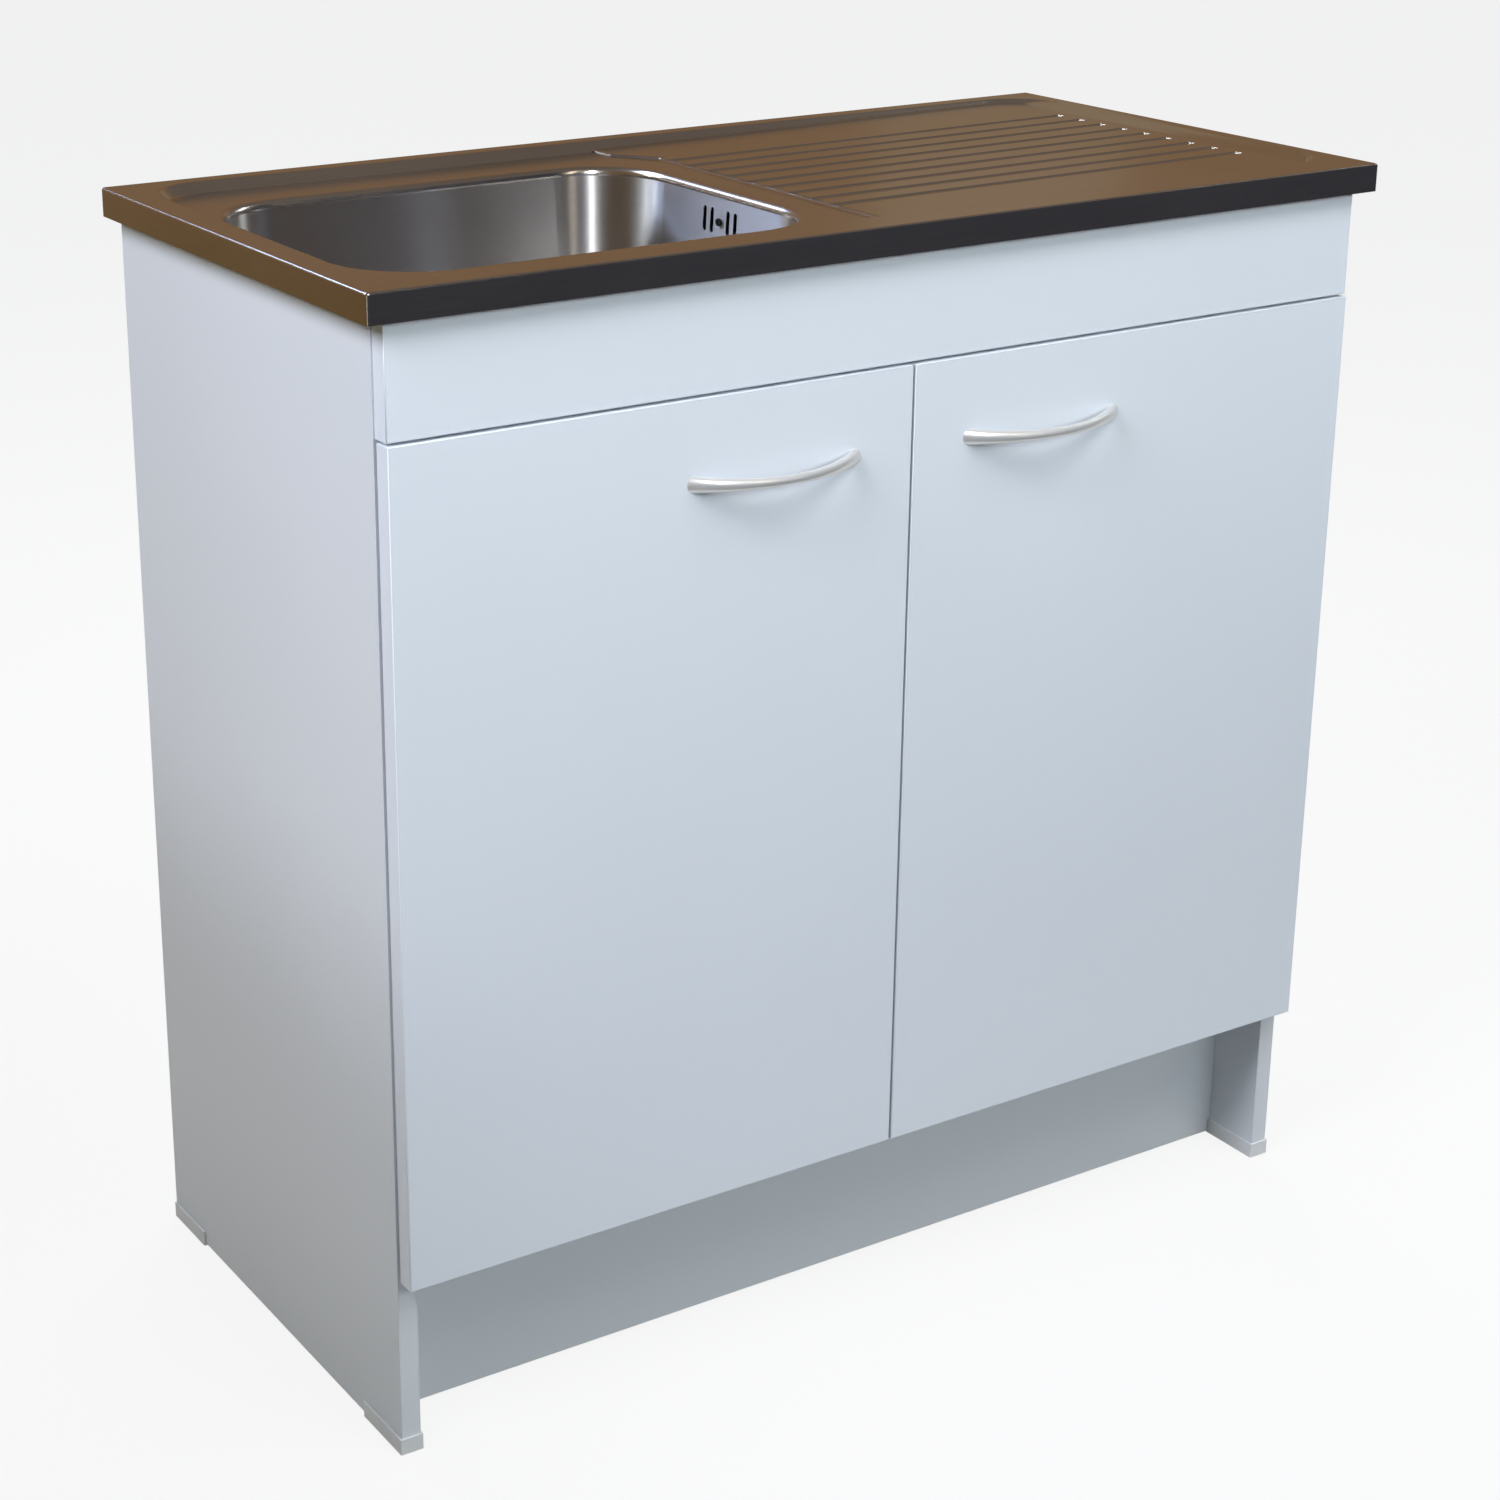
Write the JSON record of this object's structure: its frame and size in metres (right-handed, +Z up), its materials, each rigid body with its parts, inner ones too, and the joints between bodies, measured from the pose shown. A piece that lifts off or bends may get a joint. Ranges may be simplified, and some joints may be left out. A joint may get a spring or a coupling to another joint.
{
  "type": "kitchen sink unit",
  "caption": "Free-standing sink base cabinet with hinged doors, bow pulls, a false front, a toe space and a folded stainless top with a bowl on the left and a ribbed drainer on the right.",
  "frame": {"origin": "bottom centre of the box around the whole unit, on the floor", "axes": "+X to the unit's right seen from the front, -Y towards the user, +Z up"},
  "size_m": [0.9, 0.46, 0.89],
  "materials": {
    "stainless": "satin brushed stainless steel sheet",
    "white_board": "white melamine-faced chipboard, satin",
    "front_board": "white melamine-faced chipboard, smooth satin",
    "back_board": "white faced hardboard",
    "raw_wood": "sawn softwood",
    "nickel": "brushed nickel",
    "hinge_steel": "nickel-plated steel",
    "zinc": "zinc-plated steel",
    "dark_screw": "dark screw head",
    "white_plastic": "white moulded plastic",
    "seal_rubber": "black rubber and bitumen",
    "clear_silicone": "clear silicone dots"
  },
  "bodies": {
    "cabinet": {"back_panel": "back_board", "base_panel": "white_board", "bracket_screws": "zinc", "cam_bolts": "zinc", "cam_locks": "zinc", "door_buffers": "clear_silicone", "false_front": "front_board", "false_front_screws": "zinc", "foot_shoe_front_left": "white_plastic", "foot_shoe_front_right": "white_plastic", "foot_shoe_nails": "zinc", "foot_shoe_rear_left": "white_plastic", "foot_shoe_rear_right": "white_plastic", "front_rail": "white_board", "hinge_arms": "hinge_steel", "hinge_plate_screws": "zinc", "hinge_plates": "hinge_steel", "overflow_gasket": "seal_rubber", "overflow_housing": "white_plastic", "overflow_pipe": "white_plastic", "overflow_screw": "dark_screw", "plinth_block_screws": "zinc", "plinth_board": "white_board", "plinth_corner_blocks": "white_plastic", "rear_rail": "white_board", "side_panel_left": "white_board", "side_panel_right": "white_board", "sink_bowl": "stainless", "sink_top": "stainless", "sound_deadening_pad": "seal_rubber", "support_strip_drainer": "raw_wood", "support_strip_front": "raw_wood", "support_strip_left": "raw_wood", "support_strip_rear": "raw_wood", "support_strip_right": "raw_wood", "top_brackets": "zinc", "waste_body": "white_plastic", "waste_clamp_screw": "zinc", "waste_flange": "stainless", "waste_gaskets": "seal_rubber", "wooden_dowels": "raw_wood"},
    "left_link": {"hinge_links_left": "hinge_steel", "hinge_pins_left": "hinge_steel"},
    "right_link": {"hinge_links_right": "hinge_steel", "hinge_pins_right": "hinge_steel"},
    "left_door": {"door_left": "front_board", "handle_left": "nickel", "handle_screws_left": "zinc", "hinge_cups_left": "hinge_steel", "hinge_cup_screws_left": "zinc"},
    "right_door": {"door_right": "front_board", "handle_right": "nickel", "handle_screws_right": "zinc", "hinge_cups_right": "hinge_steel", "hinge_cup_screws_right": "zinc"},
    "strainer": {"basket_strainer": "stainless"}
  },
  "joints": [
    {"name": "left_link_turn", "type": "hinge", "parent": "cabinet", "child": "left_link", "pos_m": [-0.401, -0.185, 0.4645], "axis": [0, 0, 1], "range_deg": [0, 25]},
    {"name": "left_door_open", "type": "hinge", "parent": "left_link", "child": "left_door", "pos_m": [-0.4244, -0.191, 0.4645], "axis": [0, 0, -1], "range_deg": [0, 120]},
    {"name": "right_link_turn", "type": "hinge", "parent": "cabinet", "child": "right_link", "pos_m": [0.401, -0.185, 0.4645], "axis": [0, 0, -1], "range_deg": [0, 25]},
    {"name": "right_door_open", "type": "hinge", "parent": "right_link", "child": "right_door", "pos_m": [0.4244, -0.191, 0.4645], "axis": [0, 0, 1], "range_deg": [0, 120]},
    {"name": "strainer_lift", "type": "slide", "parent": "cabinet", "child": "strainer", "axis": [0, 0, 1], "range_m": [0, 0.25]}
  ],
  "couplings": [
    {"joint": "left_link_turn", "follows": "left_door_open", "ratio": 0.20833},
    {"joint": "right_link_turn", "follows": "right_door_open", "ratio": 0.20833}
  ]
}
